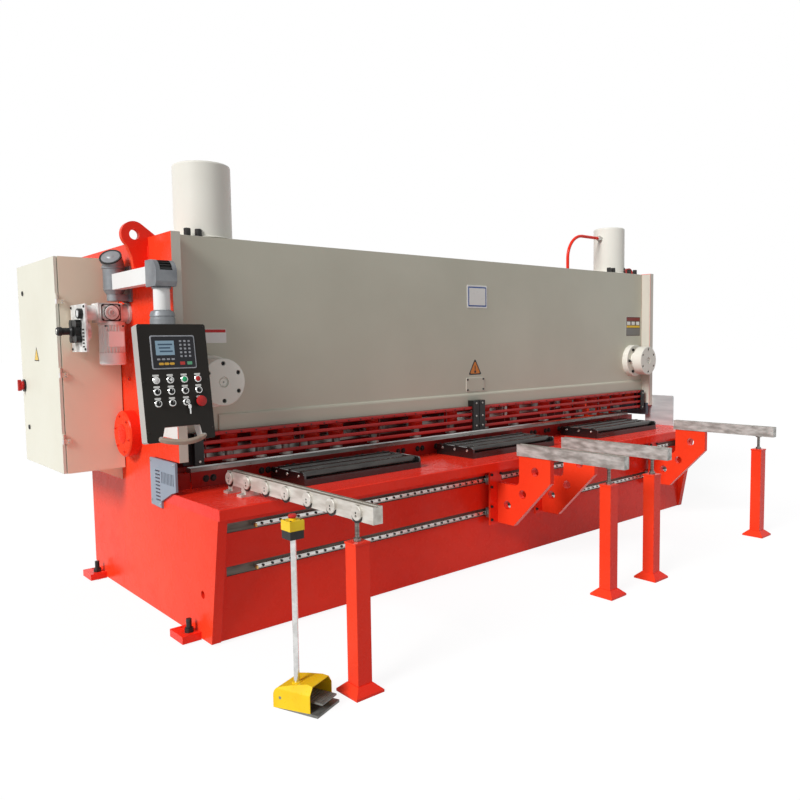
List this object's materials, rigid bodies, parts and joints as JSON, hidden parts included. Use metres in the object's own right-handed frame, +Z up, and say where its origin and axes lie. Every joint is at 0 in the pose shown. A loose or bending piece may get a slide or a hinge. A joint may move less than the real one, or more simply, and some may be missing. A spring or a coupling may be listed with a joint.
{
  "type": "hydraulic shearing machine",
  "caption": "Hydraulic plate shear with side plates, knife table, front beam, finger guard, support arms, pendant control, electric cabinet and foot switch.",
  "frame": {"origin": "on the floor, at the middle of the left front levelling screw's pad", "axes": "+X to the operator's right along the knives, +Y to the back of the machine, +Z up"},
  "size_m": [5.478, 3.062, 2.68],
  "materials": {
    "red_paint": "satin",
    "guard_red": "satin",
    "beige_paint": "satin",
    "knife_steel": "polished",
    "dark_steel": "satin",
    "black_paint": "satin",
    "roller_steel": "satin",
    "grey_cover": "satin",
    "rail_steel": "satin",
    "arm_steel": "matte",
    "cabinet_paint": "satin",
    "switch_red": "gloss",
    "pendant_white": "satin",
    "pendant_grey": "satin",
    "drive_silver": "satin",
    "pedal_yellow": "gloss",
    "pedal_grey": "matte",
    "pipe_red": "gloss"
  },
  "bodies": {
    "frame": {"side_plate_left": "red_paint", "side_plate_right": "red_paint", "front_apron": "red_paint", "table_slab": "red_paint", "knife_bed": "red_paint", "lower_knife": "knife_steel", "front_beam": "beige_paint", "hold_down_feet": "dark_steel", "knife_beam": "red_paint", "upper_knife": "knife_steel", "drive_cylinders": "beige_paint", "round_covers": "beige_paint", "finger_guard": "guard_red", "guard_brackets": "black_paint", "throat_covers": "grey_cover", "eccentric_covers": "red_paint", "lifting_lugs": "red_paint", "foot_blocks": "red_paint", "guide_rails": "rail_steel", "roller_frames": "black_paint", "squaring_arm": "arm_steel", "squaring_post": "red_paint", "cabinet_body": "cabinet_paint", "pendant_mount": "pendant_grey", "gap_drive": "drive_silver", "rear_ties": "red_paint", "back_gauge": "beige_paint", "oil_tank": "red_paint", "pedal_hood": "pedal_yellow", "stop_box": "pedal_yellow", "hydraulic_pipe": "pipe_red"},
    "door": {"cabinet_door": "cabinet_paint"},
    "switch": {"main_switch": "switch_red"},
    "pendant_arm": {"pendant_arm": "pendant_white"},
    "pendant": {"control_pendant": "black_paint"},
    "handwheel": {"gap_handwheel": "black_paint"},
    "left_arm": {"bracket_left": "red_paint", "support_arm_left": "arm_steel", "arm_post_left": "red_paint"},
    "middle_arm": {"bracket_middle": "red_paint", "support_arm_middle": "arm_steel", "arm_post_middle": "red_paint"},
    "right_arm": {"bracket_right": "red_paint", "support_arm_right": "arm_steel", "arm_post_right": "red_paint"},
    "treadle": {"pedal_treadle": "pedal_grey"},
    "roller_a1": {"roller_a1": "roller_steel"},
    "roller_a2": {"roller_a2": "roller_steel"},
    "roller_a3": {"roller_a3": "roller_steel"},
    "roller_b1": {"roller_b1": "roller_steel"},
    "roller_b2": {"roller_b2": "roller_steel"},
    "roller_b3": {"roller_b3": "roller_steel"},
    "roller_c1": {"roller_c1": "roller_steel"},
    "roller_c2": {"roller_c2": "roller_steel"},
    "roller_c3": {"roller_c3": "roller_steel"}
  },
  "joints": [
    {"name": "door_hinge", "type": "hinge", "parent": "frame", "child": "door", "pos_m": [-0.329, 0.953, 1.5], "axis": [0, 0, 1], "range_deg": [0, 110]},
    {"name": "switch_turn", "type": "hinge", "parent": "door", "child": "switch", "pos_m": [-0.353, 1.752, 1.36], "axis": [1, 0, 0], "range_deg": [0, 90]},
    {"name": "pendant_swing", "type": "hinge", "parent": "frame", "child": "pendant_arm", "pos_m": [-0.038, 0.8, 2], "axis": [0, 0, 1], "range_deg": [-70, 0]},
    {"name": "pendant_turn", "type": "hinge", "parent": "pendant_arm", "child": "pendant", "pos_m": [-0.038, 0.1, 1.9], "axis": [0, 0, 1], "range_deg": [-90, 0]},
    {"name": "gap_wheel_turn", "type": "hinge", "parent": "frame", "child": "handwheel", "pos_m": [-0.263, 0.815, 1.708], "axis": [1, 0, 0], "continuous": true},
    {"name": "left_arm_slide", "type": "slide", "parent": "frame", "child": "left_arm", "axis": [1, 0, 0], "range_m": [-1.5, 0.15]},
    {"name": "middle_arm_slide", "type": "slide", "parent": "frame", "child": "middle_arm", "axis": [1, 0, 0], "range_m": [-0.15, 0.6]},
    {"name": "right_arm_slide", "type": "slide", "parent": "frame", "child": "right_arm", "axis": [1, 0, 0], "range_m": [-0.7, 0.2]},
    {"name": "treadle_press", "type": "hinge", "parent": "frame", "child": "treadle", "pos_m": [0.04678, -0.96612, 0.05], "axis": [0.9336, 0.3584, 0], "range_deg": [0, 8], "stiffness_Nm_per_rad": 60, "springref_deg": -9.74},
    {"name": "roller_a1_spin", "type": "hinge", "parent": "frame", "child": "roller_a1", "pos_m": [1.172, -0.03667, 0.823], "axis": [1, 0, 0], "continuous": true},
    {"name": "roller_a2_spin", "type": "hinge", "parent": "frame", "child": "roller_a2", "pos_m": [1.172, 0.09, 0.823], "axis": [1, 0, 0], "continuous": true},
    {"name": "roller_a3_spin", "type": "hinge", "parent": "frame", "child": "roller_a3", "pos_m": [1.172, 0.21667, 0.823], "axis": [1, 0, 0], "continuous": true},
    {"name": "roller_b1_spin", "type": "hinge", "parent": "frame", "child": "roller_b1", "pos_m": [2.612, -0.03667, 0.823], "axis": [1, 0, 0], "continuous": true},
    {"name": "roller_b2_spin", "type": "hinge", "parent": "frame", "child": "roller_b2", "pos_m": [2.612, 0.09, 0.823], "axis": [1, 0, 0], "continuous": true},
    {"name": "roller_b3_spin", "type": "hinge", "parent": "frame", "child": "roller_b3", "pos_m": [2.612, 0.21667, 0.823], "axis": [1, 0, 0], "continuous": true},
    {"name": "roller_c1_spin", "type": "hinge", "parent": "frame", "child": "roller_c1", "pos_m": [4.132, -0.03667, 0.823], "axis": [1, 0, 0], "continuous": true},
    {"name": "roller_c2_spin", "type": "hinge", "parent": "frame", "child": "roller_c2", "pos_m": [4.132, 0.09, 0.823], "axis": [1, 0, 0], "continuous": true},
    {"name": "roller_c3_spin", "type": "hinge", "parent": "frame", "child": "roller_c3", "pos_m": [4.132, 0.21667, 0.823], "axis": [1, 0, 0], "continuous": true}
  ]
}
